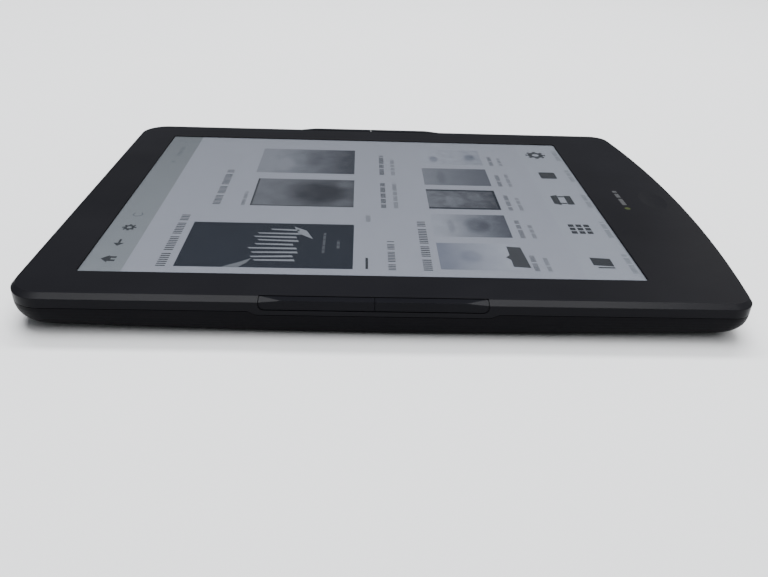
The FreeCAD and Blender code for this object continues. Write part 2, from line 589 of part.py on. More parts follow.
def display_gasket():
    """A foam ring that seals the panel to the ledge."""
    half, top = PANEL_WIDTH / 2 - GASKET_INSET, PANEL_TOP - GASKET_INSET
    low = PANEL_TOP - PANEL_LENGTH + GASKET_INSET
    shape = box(-half, half, low, top, PAGE_Z, LEDGE_Z - CLEAR)
    room = GUIDE_HALF + 0.3
    cuts = [box(-room, room, low + GASKET_WIDTH, GUIDE_HIGH + 0.3, PAGE_Z - 1, LEDGE_Z + 1)]
    cuts += [box(x - w, x + w, low - 1, low + 2, PAGE_Z - 1, LEDGE_Z + 1) for x, w in GASKET_GAPS]
    for cut in cuts:
        shape = shape.cut(cut)
    return shape


def panel_adhesive():
    """A frame of tape between the panel and the mid plate."""
    z0, z1 = PLATE_Z + PLATE_THICK + CLEAR / 2, PANEL_Z - CLEAR / 2

    def sheet(inset, low, high):
        half = ADHESIVE_HALF - inset
        return box(-half, half, ADHESIVE_LOW + inset, ADHESIVE_HIGH - inset, low, high)

    return sheet(0, z0, z1).cut(sheet(ADHESIVE_WIDTH, z0 - 1, z1 + 1))


def folded_flex(x, half, y_start, z_top, y_turn, thick):
    """A flat cable that runs to the chin, turns round in a half circle and comes back lower down."""
    x0, z_low, y_end = x - half, FLEX_LOW_Z, FLEX_END_Y
    outer = (z_top - z_low) / 2
    inner = outer - thick
    mid = (z_top + z_low) / 2

    def at(y, z):
        return V(x0, y, z)

    edges = [
        Part.LineSegment(at(y_start, z_top), at(y_turn, z_top)).toShape(),
        arc(at(y_turn, z_top), at(y_turn - outer, mid), at(y_turn, z_low)),
        Part.LineSegment(at(y_turn, z_low), at(y_end, z_low)).toShape(),
        Part.LineSegment(at(y_end, z_low), at(y_end, z_low + thick)).toShape(),
        Part.LineSegment(at(y_end, z_low + thick), at(y_turn, z_low + thick)).toShape(),
        arc(at(y_turn, z_low + thick), at(y_turn - inner, mid), at(y_turn, z_top - thick)),
        Part.LineSegment(at(y_turn, z_top - thick), at(y_start, z_top - thick)).toShape(),
        Part.LineSegment(at(y_start, z_top - thick), at(y_start, z_top)).toShape(),
    ]
    return Part.Face(Part.Wire(edges)).extrude(V(2 * half, 0, 0))


def mid_plate():
    """The stiff sheet behind the panel, with ears for its screws and posts for the board."""
    sheet = box(-PLATE_HALF, PLATE_HALF, PLATE_LOW, PLATE_HIGH, PLATE_Z, PLATE_Z + PLATE_THICK)
    for x, y in PLATE_SCREWS:
        side = 1 if x > 0 else -1
        sheet = sheet.fuse(box(side * 50, side * 54.4, y - 2.2, y + 2.2, PLATE_Z, PLATE_Z + PLATE_THICK))
    for x, y in BOARD_SCREWS:
        sheet = sheet.fuse(box(x - 3, x + 3, y - 2.4, y + 2.4, PLATE_Z, PLATE_Z + PLATE_THICK))
        post_height = PLATE_Z - BOARD_Z - BOARD_THICK
        sheet = sheet.fuse(rod((x, y, BOARD_Z + BOARD_THICK), (0, 0, 1), 1.8, post_height))
    holes = [rod((x, y, PLATE_Z - 1), (0, 0, 1), SCREW_HOLE, 2) for x, y in PLATE_SCREWS]
    holes += [rod((x, y, BOARD_Z), (0, 0, 1), SCREW_HOLE, 3) for x, y in BOARD_SCREWS]
    holes += [rounded_box(x - 9, x + 9, y - 6, y + 6, PLATE_Z - 1, PLATE_Z + 1, 2) for x, y in PLATE_HOLES]
    for hole in holes:
        sheet = sheet.cut(hole)
    return sheet.removeSplitter()


def screws(places, head_z, head_height, length):
    """Low-headed screws that point up, as one group."""
    group = []
    for x, y in places:
        head = rod((x, y, head_z), (0, 0, 1), SCREW_HEAD, head_height)
        cross = [box(x - a, x + a, y - b, y + b, head_z - 1, head_z + head_height * 0.6)
                 for a, b in ((0.8, 0.15), (0.15, 0.8))]
        shank = rod((x, y, head_z + head_height), (0, 0, 1), SCREW_SHANK, length)
        group.append(joined([head, shank]).cut(cross[0]).cut(cross[1]))
    return Part.makeCompound(group)


# ---------------------------------------------------------------- electronics

def main_board():
    top = BOARD_Z + BOARD_THICK - CLEAR
    board = joined([box(-BOARD_HALF, BOARD_HALF, BOARD_LOW, BOARD_TOP, BOARD_Z, top),
                    box(-TAB_HALF, TAB_HALF, TAB_LOW, BOARD_LOW + 1, BOARD_Z, top)])
    for x, y in BOARD_SCREWS:
        board = board.cut(rod((x, y, BOARD_Z - 1), (0, 0, 1), SCREW_HOLE + 0.1, 3))
    return board


def under_board(x, y, width, length, height):
    """A component on the board's underside, given by its middle and size."""
    return box(x - width / 2, x + width / 2, y - length / 2, y + length / 2,
               BOARD_Z - CLEAR, BOARD_Z - CLEAR - height)


def processor_shield():
    """A thin folded can over the processor and its memory, open towards the board."""
    wall = 0.2
    can = under_board(*SHIELD_PLACE, SHIELD_WIDTH, SHIELD_LENGTH, SHIELD_HEIGHT)
    inside = under_board(*SHIELD_PLACE, SHIELD_WIDTH - 2 * wall, SHIELD_LENGTH - 2 * wall,
                         SHIELD_HEIGHT - wall)
    return can.cut(inside)


def board_passives():
    """Rows of capacitors and coils round the power chips."""
    bits = [under_board(-8 + 2.2 * i, -60.5 + 3.0 * j, 1.0, 0.6, 0.5) for i in range(6) for j in range(3)]
    bits += [under_board(-38 + 4.4 * i, -44, 3.0, 3.0, 1.2) for i in range(3)]
    bits += [under_board(-38 + 2.4 * i, -47.5, 1.2, 0.7, 0.6) for i in range(6)]
    return Part.makeCompound(bits)


def flex_connectors():
    """Connectors on the board's upper side that the flat cables plug into."""
    z0 = BOARD_Z + BOARD_THICK
    z1 = z0 + CONNECTOR_HEIGHT
    return Part.makeCompound([box(x - w / 2, x + w / 2, y - d / 2, y + d / 2, z0, z1)
                              for x, y, w, d in CONNECTORS])


def usb_section(grow):
    """The socket's section: wide at the board side, its far corners cut off."""
    w, low, high = USB_WIDTH / 2 - grow, PORT_Z - USB_HEIGHT / 2 + grow, PORT_Z + USB_HEIGHT / 2 - grow
    cut = 0.9
    points = [(-w, high), (w, high), (w, low + cut), (w - cut, low), (-w + cut, low), (-w, low + cut)]
    corners = [V(x, USB_MOUTH, z) for x, z in points]
    return Part.Face(Part.makePolygon(corners + corners[:1]))


def usb_shell():
    depth = USB_BACK - USB_MOUTH
    outer = usb_section(0).extrude(V(0, depth, 0))
    return outer.cut(usb_section(SHEET).extrude(V(0, depth - SHEET, 0)))


def usb_tongue():
    z = PORT_Z + 0.25
    base = box(-3.3, 3.3, USB_BACK - SHEET - 1.6, USB_BACK - SHEET - CLEAR, PORT_Z - 0.9, PORT_Z + 0.9)
    return joined([base.common(usb_section(SHEET + 0.05).extrude(V(0, 20, 0))),
                   box(-1.9, 1.9, USB_MOUTH + 0.8, USB_BACK - SHEET - 1.5, z - 0.3, z + 0.3)])


def card_socket():
    """A folded metal cover, open at the chin, and the moulded base that closes it."""
    top = BOARD_Z - CLEAR
    cover = box(CARD_X - CARD_HALF, CARD_X + CARD_HALF, CARD_FRONT, CARD_BACK, CARD_Z, top)
    cover = cover.cut(box(CARD_X - CARD_HALF + 0.25, CARD_X + CARD_HALF - 0.25, CARD_FRONT - 1,
                          CARD_BACK - 0.25, CARD_Z + 0.2, top + 1))
    base = box(CARD_X - CARD_HALF + 0.3, CARD_X + CARD_HALF - 0.3, CARD_FRONT + 0.6,
               CARD_BACK - 0.3, top - 0.35, top)
    stop = box(CARD_X - CARD_HALF + 0.3, CARD_X + CARD_HALF - 0.3, CARD_BACK - 2.0,
               CARD_BACK - 0.3, CARD_Z + 0.25, top - 0.3)
    return cover, joined([base, stop])


def battery():
    cell = rounded_box(-BATTERY_HALF, BATTERY_HALF, BATTERY_LOW, BATTERY_TOP,
                       BATTERY_Z, BATTERY_Z + BATTERY_THICK, 2.0)
    rims = [e for e in cell.Edges if abs(e.tangentAt(e.FirstParameter).z) < 0.1]
    return cell.makeFillet(0.8, rims)


def battery_tape():
    """Two strips that hold the cell to the mid plate."""
    z0, z1 = BATTERY_Z + BATTERY_THICK + CLEAR / 2, PLATE_Z - CLEAR / 2
    return Part.makeCompound([box(x - TAPE_HALF, x + TAPE_HALF, BATTERY_LOW + TAPE_INSET,
                                  BATTERY_TOP - TAPE_INSET, z0, z1) for x in (-TAPE_X, TAPE_X)])


def battery_lead():
    """Three flat leads from the cell's lower end to its connector."""
    return Part.makeCompound([box(x, x + LEAD_WIDTH, LEAD_END, BATTERY_LOW - CLEAR, 6.26, 6.38)
                              for x in LEAD_PLACES])


def cover_foam():
    """Pads on the cover's floor that keep the cell from rattling."""
    return Part.makeCompound([box(x - FOAM_HALF, x + FOAM_HALF, FOAM_LOW, FOAM_HIGH, SKIN + CLEAR,
                                  BATTERY_Z - CLEAR) for x in (-FOAM_X, FOAM_X)])


def make_parts():
    card_cover, card_base = card_socket()
    parts = {
        "front_frame": front_frame(),
        "rear_cover": rear_cover(),
        "printed_bars": Part.makeCompound(printed_bars()),
        "printed_dot": printed_dot(),
        "touch_film": touch_film(),
        "light_guide": light_guide(),
        "page_layer": page_layer(),
        "panel_glass": panel_glass(),
        "display_driver_chip": driver_chip(),
        "light_bar": light_bar(),
        "display_gasket": display_gasket(),
        "panel_adhesive": panel_adhesive(),
        "display_flex": folded_flex(0, DISPLAY_FLEX_HALF, DISPLAY_FLEX_START, PAGE_Z + DISPLAY_FLEX_THICK,
                                    FLEX_TURN, DISPLAY_FLEX_THICK),
        "touch_flex": folded_flex(TOUCH_X, TOUCH_HALF, WINDOW_BOTTOM - FILM_TAIL - CLEAR,
                                  FILM_TOP - FILM_THICK + FLEX_THIN, TOUCH_FLEX_TURN, FLEX_THIN),
        "light_flex": folded_flex(LIGHT_FLEX_X, LIGHT_FLEX_HALF, STRIP_LOW - CLEAR,
                                  LIGHT_STRIP_Z + STRIP_THICK, FLEX_TURN, STRIP_THICK),
        "mid_plate": mid_plate(),
        "plate_screws": screws(PLATE_SCREWS, PLATE_Z - 0.42, 0.4, 1.6),
        "board_screws": screws(BOARD_SCREWS, BOARD_Z - 0.62, 0.6, 2.0),
        "main_board": main_board(),
        "processor_shield": processor_shield(),
        "board_passives": board_passives(),
        "flex_connectors": flex_connectors(),
        "usb_socket_shell": usb_shell(),
        "usb_socket_tongue": usb_tongue(),
        "card_socket_cover": card_cover,
        "card_socket_base": card_base,
        "power_button": power_button(),
        "power_switch_stem": power_plunger(),
        "power_switch": push_switch(POWER_X, -75.6, POWER_Z, 2.4, 0.5),
        "reset_switch": push_switch(RESET_X, -75.4, SMALL_PORT_Z, 1.8, 0.45),
        "reset_switch_stem": reset_plunger(),
        "status_led": box(LED_X - 0.8, LED_X + 0.8, -75.2, -74.4, SMALL_PORT_Z - 0.5, BOARD_Z - CLEAR),
        "light_pipe": rod((LED_X, chin_y(LED_X, 0.3), SMALL_PORT_Z), (0, 1, 0), 0.6, 3.2),
        "battery": battery(),
        "battery_tape": battery_tape(),
        "battery_lead": battery_lead(),
        "cover_foam": cover_foam(),
    }
    for node, place in CHIPS.items():
        parts[node] = under_board(*place)
    for side, name in ((-1, "left"), (1, "right")):
        for which in ("upper", "lower"):
            parts[f"page_key_{name}_{which}"] = page_key(side, which)
            parts[f"key_stem_{name}_{which}"] = key_switch_plunger(side, which)
        parts[f"key_switches_{name}"] = key_switches(side)
        parts[f"key_flex_{name}"] = key_flex(side)
    return parts


os.makedirs("parts", exist_ok=True)
for node, solid in make_parts().items():
    if not solid.isValid() or not solid.Solids:
        raise ValueError(f"{node} is not a valid solid")
    solid.exportStep(f"parts/{node}.step")
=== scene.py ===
import json
import math
import random

import bpy
from mathutils import Matrix, Vector


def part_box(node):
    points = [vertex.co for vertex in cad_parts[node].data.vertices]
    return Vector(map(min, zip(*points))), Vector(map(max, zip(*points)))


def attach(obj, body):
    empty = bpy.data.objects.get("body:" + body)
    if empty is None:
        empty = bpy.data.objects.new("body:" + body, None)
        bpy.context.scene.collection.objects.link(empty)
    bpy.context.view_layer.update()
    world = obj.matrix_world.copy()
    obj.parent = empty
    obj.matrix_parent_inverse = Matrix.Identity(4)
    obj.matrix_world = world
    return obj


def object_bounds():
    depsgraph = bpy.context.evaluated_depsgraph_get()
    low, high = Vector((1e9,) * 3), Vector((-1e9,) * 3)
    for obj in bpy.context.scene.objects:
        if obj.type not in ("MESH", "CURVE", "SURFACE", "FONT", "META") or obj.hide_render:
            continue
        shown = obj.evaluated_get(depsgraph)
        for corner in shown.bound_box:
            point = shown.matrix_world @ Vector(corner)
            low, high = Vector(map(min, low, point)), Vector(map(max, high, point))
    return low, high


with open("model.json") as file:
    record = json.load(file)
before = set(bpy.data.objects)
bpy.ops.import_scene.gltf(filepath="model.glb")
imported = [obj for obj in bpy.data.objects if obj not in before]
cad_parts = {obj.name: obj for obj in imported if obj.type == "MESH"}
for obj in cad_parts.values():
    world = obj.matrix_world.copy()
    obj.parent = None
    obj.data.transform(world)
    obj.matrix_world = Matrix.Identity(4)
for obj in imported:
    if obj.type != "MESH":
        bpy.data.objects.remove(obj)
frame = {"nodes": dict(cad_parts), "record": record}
cad_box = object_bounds()

MM = 0.001                   # one millimetre, in the scene's metres

# ---------------------------------------------------------------- camera, floor and lights

CAMERA_AT = Vector((-0.17975, 0.00802, 0.08305))
CAMERA_LOOKS = Vector((0.86580, -0.03634, -0.49907))
CAMERA_ROLL = math.radians(2.16)
CAMERA_LENS = 33.27
SENSOR_WIDTH = 36.0
NEAREST_SEEN = 0.005

SKY_COLOUR = (0.93, 0.96, 1.0, 1.0)
SKY_STRENGTH = 0.22
# Each light's name, place, the point it faces, size, watts and colour
SOFTBOXES = (
    ("top_softbox", (0.05, 0.05, 1.35), (0, 0, 0), (0.8, 0.8), 19.0, (0.97, 0.98, 1.0)),
    ("key_softbox", (0.52, 0.0, 1.02), (0, 0, 0), (1.25, 0.20), 15.0, (0.98, 0.99, 1.0)),
    ("fill_softbox", (-0.5, -0.5, 1.1), (0, 0, 0), (1.0, 1.0), 9.0, (1.0, 1.0, 1.0)),
    ("chin_softbox", (0.55, -0.60, 0.42), (0, -0.08, 0), (0.5, 0.35), 0.42, (1.0, 0.97, 0.94)),
)

FLOOR_HALF = 1.6
FLOOR_GAP = 0.1 * MM         # between the floor and the underside


def link(thing):
    bpy.context.scene.collection.objects.link(thing)


def add_camera():
    camera = bpy.data.cameras.new("camera")
    camera.lens = CAMERA_LENS
    camera.sensor_width = SENSOR_WIDTH
    camera.clip_start = NEAREST_SEEN
    holder = bpy.data.objects.new("camera", camera)
    link(holder)
    aim = CAMERA_LOOKS.to_track_quat("-Z", "Y").to_matrix().to_4x4()
    holder.matrix_world = Matrix.Translation(CAMERA_AT) @ aim @ Matrix.Rotation(CAMERA_ROLL, 4, "Z")
    bpy.context.scene.camera = holder


def add_softbox(name, place, target, size, watts, colour):
    light = bpy.data.lights.new(name, "AREA")
    light.shape = "RECTANGLE"
    light.size, light.size_y = size
    light.energy = watts
    light.color = colour
    holder = bpy.data.objects.new(name, light)
    link(holder)
    holder.location = place
    holder.rotation_euler = (Vector(target) - Vector(place)).to_track_quat("-Z", "Y").to_euler()


def add_sky():
    world = bpy.data.worlds.new("studio")
    world.use_nodes = True
    background = world.node_tree.nodes["Background"]
    background.inputs["Color"].default_value = SKY_COLOUR
    background.inputs["Strength"].default_value = SKY_STRENGTH
    bpy.context.scene.world = world


def add_floor():
    mesh = bpy.data.meshes.new("floor")
    corners = [(x * FLOOR_HALF, y * FLOOR_HALF, 0) for x, y in ((-1, -1), (1, -1), (1, 1), (-1, 1))]
    mesh.from_pydata(corners, [], [(0, 1, 2, 3)])
    floor = bpy.data.objects.new("floor", mesh)
    link(floor)
    floor.location.z = cad_box[0][2] - FLOOR_GAP
    paint = Paint("floor_paint", roughness=0.9, specular=0.1)
    paint.base(paint.blend(paint.noise(6.0, 3.0), (0.86, 0.87, 0.88), (0.90, 0.90, 0.90)))
    mesh.materials.append(paint.material)


# ---------------------------------------------------------------- materials

CLEAR_IOR = 1.45             # of the film, the light guide and the lens
GLOSS_IOR = 1.38             # of the share of gloss that lies over them
MOULD_BUMP = 0.25
MOULD_EDGE = 0.14 * MM       # radius that a moulded edge's shading is rounded by
DOT = 0.12 * MM              # pitch of the paper's dots
GREY_STEPS = 15              # steps from the paper's darkest grey to its lightest
SHADE_SPAN = (-45 * MM, 45 * MM)    # from the left of the page to the right, over which painted shade darkens an ink toward the right


class Paint:
    """A Principled material with short calls for the nodes that the surfaces here are built from."""

    def __init__(self, name, roughness=0.5, specular=0.5, metallic=0.0):
        self.material = bpy.data.materials.new(name)
        self.material.use_nodes = True
        self.tree = self.material.node_tree
        self.shader = self.tree.nodes["Principled BSDF"]
        self.output = self.tree.nodes["Material Output"]
        self.shader.inputs["Roughness"].default_value = roughness
        self.shader.inputs["Specular IOR Level"].default_value = specular
        self.shader.inputs["Metallic"].default_value = metallic
        self.where = self.tree.nodes.new("ShaderNodeTexCoord").outputs["Object"]

    def node(self, kind, **inputs):
        made = self.tree.nodes.new(kind)
        for key, value in inputs.items():
            self.feed(made.inputs[key], value)
        return made

    def feed(self, socket, value):
        if isinstance(value, bpy.types.NodeSocket):
            self.tree.links.new(value, socket)
        elif isinstance(value, tuple) and len(value) == 3 and socket.type == "RGBA":
            socket.default_value = (*value, 1.0)
        else:
            socket.default_value = value

    def stretched(self, stretch):
        if stretch == (1, 1, 1):
            return self.where
        return self.node("ShaderNodeMapping", Vector=self.where, Scale=stretch).outputs["Vector"]

    def noise(self, scale, detail=2.0, stretch=(1, 1, 1)):
        place = self.stretched(stretch)
        return self.node("ShaderNodeTexNoise", Vector=place, Scale=scale, Detail=detail).outputs["Fac"]

    def cells(self, scale):
        return self.node("ShaderNodeTexVoronoi", Vector=self.where, Scale=scale).outputs["Distance"]

    def bands(self, scale, axis):
        wave = self.node("ShaderNodeTexWave", Vector=self.where, Scale=scale, Distortion=0.0)
        wave.bands_direction = axis
        return wave.outputs["Fac"]

    def apart(self, axis):
        return self.node("ShaderNodeSeparateXYZ", Vector=self.where).outputs[axis]

    def math(self, operation, first, second):
        made = self.tree.nodes.new("ShaderNodeMath")
        made.operation = operation
        for socket, value in zip(made.inputs, (first, second)):
            self.feed(socket, value)
        return made.outputs["Value"]

    def plus(self, first, second):
        return self.math("ADD", first, second)

    def minus(self, first, second):
        return self.math("SUBTRACT", first, second)

    def times(self, first, second):
        return self.math("MULTIPLY", first, second)

    def ramp(self, factor, low, high, low_value=0.0, high_value=1.0):
        made = self.node("ShaderNodeMapRange", Value=factor)
        ends = {"From Min": low, "From Max": high, "To Min": low_value, "To Max": high_value}
        for key, value in ends.items():
            made.inputs[key].default_value = value
        return made.outputs["Result"]

    def blend(self, factor, first, second):
        """A mix of two colours. Inputs 6 and 7 and output 2 are the Mix node's colour sockets."""
        made = self.tree.nodes.new("ShaderNodeMix")
        made.data_type = "RGBA"
        self.feed(made.inputs["Factor"], factor)
        self.feed(made.inputs[6], first)
        self.feed(made.inputs[7], second)
        return made.outputs[2]

    def mixed(self, share, first, second):
        """A mix of two shaders."""
        made = self.tree.nodes.new("ShaderNodeMixShader")
        for socket, value in zip(made.inputs, (share, first, second)):
            self.feed(socket, value)
        return made.outputs["Shader"]

    def base(self, colour):
        self.feed(self.shader.inputs["Base Color"], colour)

    def rough(self, value):
        self.feed(self.shader.inputs["Roughness"], value)

    def grain(self, height, strength, distance, edge=0.0):
        """Bump from a height, over a normal that rounds edges by the given radius."""
        bump = self.node("ShaderNodeBump", Height=height, Strength=strength, Distance=distance)
        if edge:
            bevel = self.node("ShaderNodeBevel", Radius=edge)
            bevel.samples = 4
            self.tree.links.new(bevel.outputs["Normal"], bump.inputs["Normal"])
        self.tree.links.new(bump.outputs["Normal"], self.shader.inputs["Normal"])


def moulded(name, dark, light, roughness, specular, grain_mm):
    """Spark-eroded moulded plastic: a fine pebble grain, faint mottling and handling sheen."""
    paint = Paint(name, roughness, specular)
    fine = paint.noise(1 / (grain_mm * MM), 2.0)
    broad = paint.noise(38.0, 4.0)
    smear = paint.noise(90.0, 5.0, (1.0, 0.35, 1.0))
    tone = paint.plus(paint.times(fine, 0.45), paint.times(broad, 0.55))
    paint.base(paint.blend(paint.ramp(tone, 0.36, 0.64), dark, light))
    sheen = paint.plus(paint.times(smear, 0.12), roughness - 0.11)
    paint.rough(paint.plus(paint.times(fine, 0.10), sheen))
    pebbles = paint.plus(fine, paint.times(paint.cells(0.6 / (grain_mm * MM)), 0.6))
    paint.grain(pebbles, MOULD_BUMP, 0.02 * MM, MOULD_EDGE)
    return paint.material


def see_through(name, tint, veil, roughness):
    """A clear solid that bends the view through it. Light on its way to what lies beneath passes
    straight through, and a soft gloss lies over its outer side."""
    paint = Paint(name, roughness, 0.5)
    paint.base(paint.blend(paint.noise(150.0, 3.0), (0.020, 0.021, 0.023), (0.035, 0.036, 0.038)))
    fine = paint.noise(4200.0, 2.0)
    paint.rough(paint.plus(paint.times(fine, 0.08), roughness - 0.04))
    paint.grain(fine, 0.06, 0.01 * MM)
    straight = paint.node("ShaderNodeBsdfTransparent", Color=tint)
    bent = paint.node("ShaderNodeBsdfRefraction", Color=tint, Roughness=0.0, IOR=CLEAR_IOR)
    path = paint.node("ShaderNodeLightPath").outputs
    seen = paint.math("MAXIMUM", path["Is Camera Ray"], path["Is Transmission Ray"])
    body = paint.mixed(seen, straight.outputs["BSDF"], bent.outputs["BSDF"])
    fresnel = paint.node("ShaderNodeFresnel", IOR=GLOSS_IOR).outputs["Fac"]
    front = paint.minus(1.0, paint.node("ShaderNodeNewGeometry").outputs["Backfacing"])
    share = paint.times(paint.times(fresnel, veil), front)
    whole = paint.mixed(share, body, paint.shader.outputs["BSDF"])
    paint.tree.links.new(whole, paint.output.inputs["Surface"])
    return paint.material


def snapped(paint):
    """The place on the page, in whole dots of the panel."""
    made = paint.tree.nodes.new("ShaderNodeVectorMath")
    made.operation = "SNAP"
    paint.tree.links.new(paint.where, made.inputs[0])
    made.inputs[1].default_value = (DOT, DOT, 1.0)
    return made.outputs["Vector"]


def dither(paint, amount):
    """Dot-sized noise between minus and plus half the amount."""
    white = paint.tree.nodes.new("ShaderNodeTexWhiteNoise")
    white.noise_dimensions = "2D"
    paint.tree.links.new(snapped(paint), white.inputs["Vector"])
    return paint.times(paint.minus(white.outputs["Value"], 0.5), amount)


def ink(name, shade, tint, speckle=0.10, far_shade=0.0):
    """Electronic ink at one grey level, with the faint grain of its capsules and of dithering.
    The last argument is painted shade: the share of its level that the ink loses from the page's left edge
    to its right."""
    paint = Paint(name, 0.85, 0.12)
    cloud = paint.times(paint.minus(paint.noise(260.0, 3.0), 0.5), 0.06)
    level = paint.plus(dither(paint, speckle), paint.plus(cloud, 1.0))
    # painted shade: the ink darkens toward the page's right
    level = paint.minus(level, paint.ramp(paint.apart("X"), *SHADE_SPAN, 0.0, far_shade))
    low, high = (tuple(shade * part * share for part in tint) for share in (0.5, 1.3))
    paint.base(paint.blend(paint.ramp(level, 0.5, 1.3), low, high))
    paint.grain(paint.noise(5200.0, 2.0), 0.12, 0.01 * MM)
    return paint.material


def smudge(paint, x, y, half_x, half_y, weight):
    """A soft oval that adds its weight at its middle and nothing past its rim."""
    inside = paint.node("ShaderNodeMapping", Vector=paint.where,
                        Scale=(1 / (half_x * MM), 1 / (half_y * MM), 0.0),
                        Location=(-x / half_x, -y / half_y, 0.0))
    reach = paint.tree.nodes.new("ShaderNodeVectorMath")
    reach.operation = "LENGTH"
    paint.tree.links.new(inside.outputs["Vector"], reach.inputs[0])
    return paint.ramp(reach.outputs["Value"], 0.55, 1.1, weight, 0.0)


def picture(name, tones, slope, smudges, cloud, scale):
    """An abstract picture in the panel's grey steps: a slope between two tones, given by where it
    starts and ends along the page's height, with smudges and wisps of cloud on it. A smudge is its
    middle, its half sizes and its weight."""
    dark, light = tones
    paint = Paint(name, 0.85, 0.12)
    paint.where = snapped(paint)
    level = paint.ramp(paint.apart("Y"), slope[0] * MM, slope[1] * MM)
    for spot in smudges:
        level = paint.plus(level, smudge(paint, *spot))
    wisps = paint.minus(paint.noise(scale, 1.5), 0.5)
    level = paint.plus(level, paint.times(wisps, cloud))
    level = paint.plus(level, dither(paint, 0.05))
    steps = paint.math("SNAP", level, 1 / GREY_STEPS)
    low = (dark, dark * 1.06, dark * 1.32)
    high = (light, light * 1.03, light * 1.16)
    paint.base(paint.blend(paint.ramp(steps, 0.0, 1.0), low, high))
    return paint.material


def brushed(name, colour, roughness, stretch):
    """Plain metal sheet with a fine directional grain and a few dull patches."""
    paint = Paint(name, roughness, 0.5, 1.0)
    lines = paint.noise(900.0, 3.0, stretch)
    patches = paint.noise(120.0, 4.0)
    paint.base(paint.blend(patches, tuple(part * 0.82 for part in colour), colour))
    paint.rough(paint.plus(paint.times(lines, 0.2), roughness - 0.1))
    paint.grain(lines, 0.12, 0.01 * MM, 0.08 * MM)
    return paint.material


def chip(name, colour, roughness=0.6):
    """Moulded epoxy or die: very fine matt grain with faint flow marks."""
    paint = Paint(name, roughness, 0.4)
    fine = paint.noise(9000.0, 2.0)
    flow = paint.noise(400.0, 4.0, (1.0, 0.3, 1.0))
    low, high = (tuple(part * share for part in colour) for share in (0.8, 1.25))
    paint.base(paint.blend(flow, low, high))
    paint.rough(paint.plus(paint.times(fine, 0.15), roughness - 0.07))
    paint.grain(fine, 0.15, 0.01 * MM, 0.06 * MM)
    return paint.material


def circuit_board():
    """Green mask over copper: stepped runs of track show as slightly paler, raised lines."""
    paint = Paint("board_mask", 0.35, 0.5)
    across, along = (paint.ramp(paint.bands(420.0, axis), 0.72, 0.80) for axis in "XY")
    zone = paint.math("GREATER_THAN", paint.noise(110.0, 0.0), 0.5)
    tracks = paint.plus(paint.times(across, zone), paint.times(along, paint.minus(1.0, zone)))
    paint.base(paint.blend(tracks, (0.008, 0.060, 0.026), (0.020, 0.125, 0.055)))
    paint.grain(tracks, 0.3, 0.03 * MM)
    return paint.material


def flat_cable():
    """Amber film with fine copper runs showing through."""
    paint = Paint("flex_film", 0.3, 0.5)
    runs = paint.ramp(paint.bands(900.0, "X"), 0.45, 0.6)
    paint.base(paint.blend(runs, (0.30, 0.125, 0.022), (0.52, 0.27, 0.085)))
    paint.grain(runs, 0.2, 0.02 * MM)
    return paint.material


def pouch_foil():
    """Laminated aluminium pouch: matt silver, gently crinkled."""
    paint = Paint("pouch_foil", 0.38, 0.5, 0.9)
    crinkle = paint.noise(160.0, 6.0)
    paint.base(paint.blend(paint.noise(40.0, 2.0), (0.50, 0.51, 0.53), (0.62, 0.63, 0.65)))
    paint.rough(paint.plus(paint.times(crinkle, 0.2), 0.28))
    paint.grain(crinkle, 0.5, 0.12 * MM)
    return paint.material


def soft_foam(name, colour):
    """Foam or tape, with the pores of its surface."""
    paint = Paint(name, 0.95, 0.1)
    pores = paint.cells(3200.0)
    paint.base(paint.blend(pores, tuple(part * 0.55 for part in colour), colour))
    paint.grain(pores, 0.6, 0.08 * MM)
    return paint.material


def speckled(name, first, second, scale, roughness, specular=0.4):
    """Two-tone surface for small plain pieces."""
    paint = Paint(name, roughness, specular)
    spots = paint.noise(scale, 3.0)
    paint.base(paint.blend(paint.ramp(spots, 0.4, 0.6), first, second))
    paint.grain(spots, 0.2, 0.02 * MM, 0.05 * MM)
    return paint.material


def outer_surfaces():
    """Materials by slot for what shows from outside."""
    return {
        "bezel_plastic": moulded("bezel_plastic", (0.0054, 0.0054, 0.0070), (0.0078, 0.0078, 0.0098),
                                 0.34, 0.05, 0.20),
        # Darker than the bezel's plastic: painted shade that stands in for the shade on the device's sides.
        "cover_plastic": moulded("cover_plastic", (0.0026, 0.0025, 0.0036), (0.0040, 0.0038, 0.0052),
                                 0.50, 0.05, 0.26),
        "key_plastic": moulded("key_plastic", (0.0032, 0.0033, 0.0050), (0.0048, 0.0049, 0.0070),
                               0.33, 0.06, 0.16),
        "button_plastic": moulded("button_plastic", (0.0030, 0.0030, 0.0040), (0.0046, 0.0046, 0.0058),
                                  0.42, 0.08, 0.16),
        "screen_film": see_through("screen_film", (0.955, 0.960, 0.965), 0.55, 0.42),
        # painted shade: the page's white darkens toward its right by its last number
        "page": ink("page_white", 0.217, (0.95, 0.97, 1.09), 0.05, 0.13),
        "socket_black": chip("socket_polymer", (0.016, 0.016, 0.017), 0.5),
        "steel": brushed("zinc_plate", (0.55, 0.55, 0.56), 0.3, (1, 1, 8)),
        "lens_clear": see_through("lens_clear", (0.93, 0.97, 0.94), 0.9, 0.12),
        "print_pale": speckled("print_pale", (0.038, 0.039, 0.042), (0.056, 0.057, 0.060), 5000.0, 0.6, 0.1),
        "print_lime": speckled("print_lime", (0.026, 0.034, 0.010), (0.036, 0.046, 0.014), 5000.0, 0.6, 0.1),
    }


